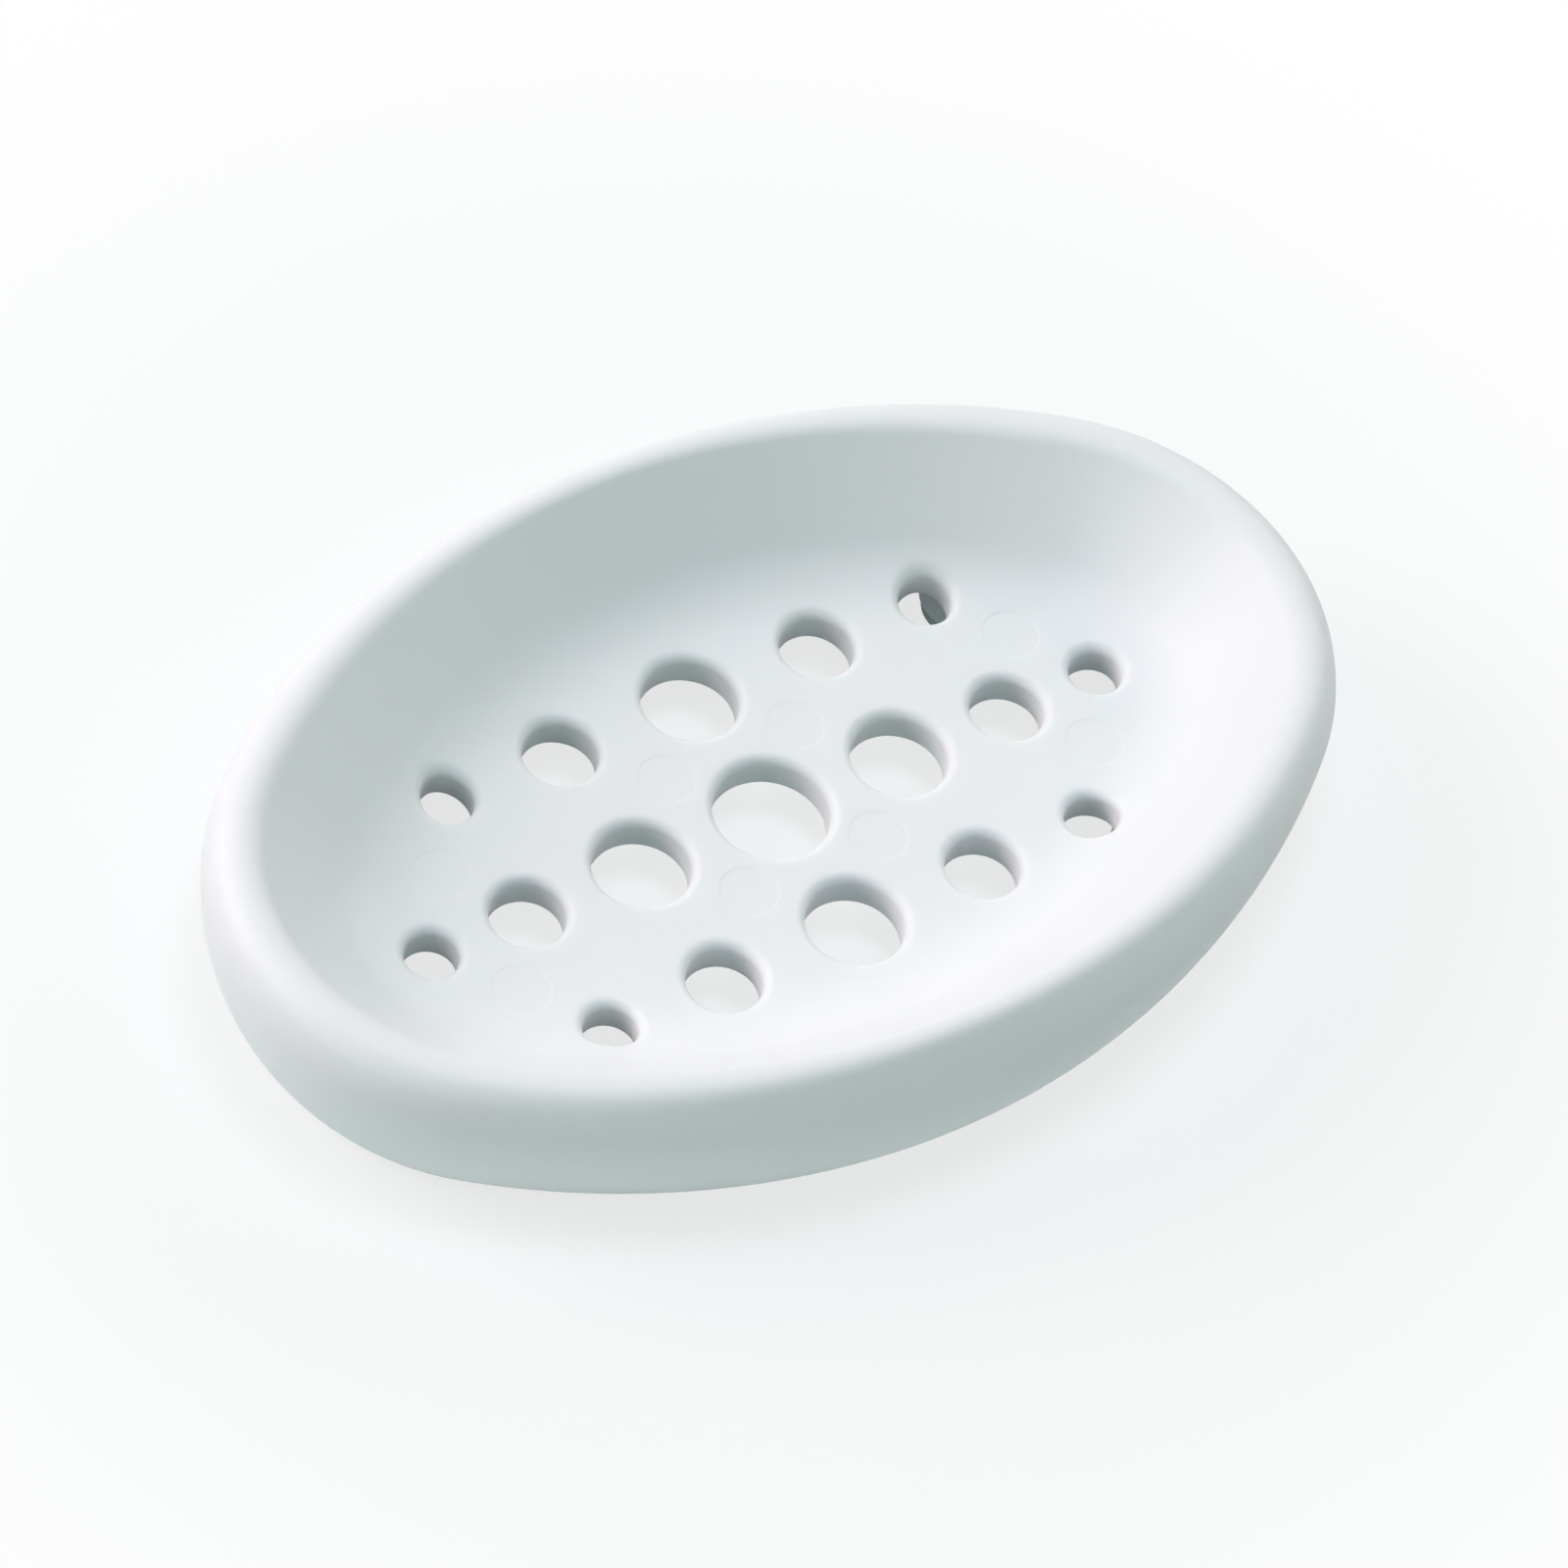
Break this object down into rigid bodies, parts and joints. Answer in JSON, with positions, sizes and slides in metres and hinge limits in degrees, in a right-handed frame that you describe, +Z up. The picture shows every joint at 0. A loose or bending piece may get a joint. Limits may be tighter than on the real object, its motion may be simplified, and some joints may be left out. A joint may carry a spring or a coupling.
{
  "type": "soap dish",
  "caption": "Oval bathroom soap dish: a thick rolled rim round a flat floor with graded round drain holes, standing on small soft feet.",
  "frame": {"origin": "on the table plane, under the centre of the middle drain hole", "axes": "+X along the dish's length, +Y across it away from the pictured front, +Z up out of the bowl"},
  "size_m": [0.128, 0.085, 0.022],
  "materials": {
    "dish": "satin white moulded plastic",
    "feet": "matt pale grey elastomer"
  },
  "bodies": {
    "root": {"dish_body": "dish", "foot_front_left": "feet", "foot_front_right": "feet", "foot_rear_left": "feet", "foot_rear_right": "feet"}
  },
  "joints": []
}
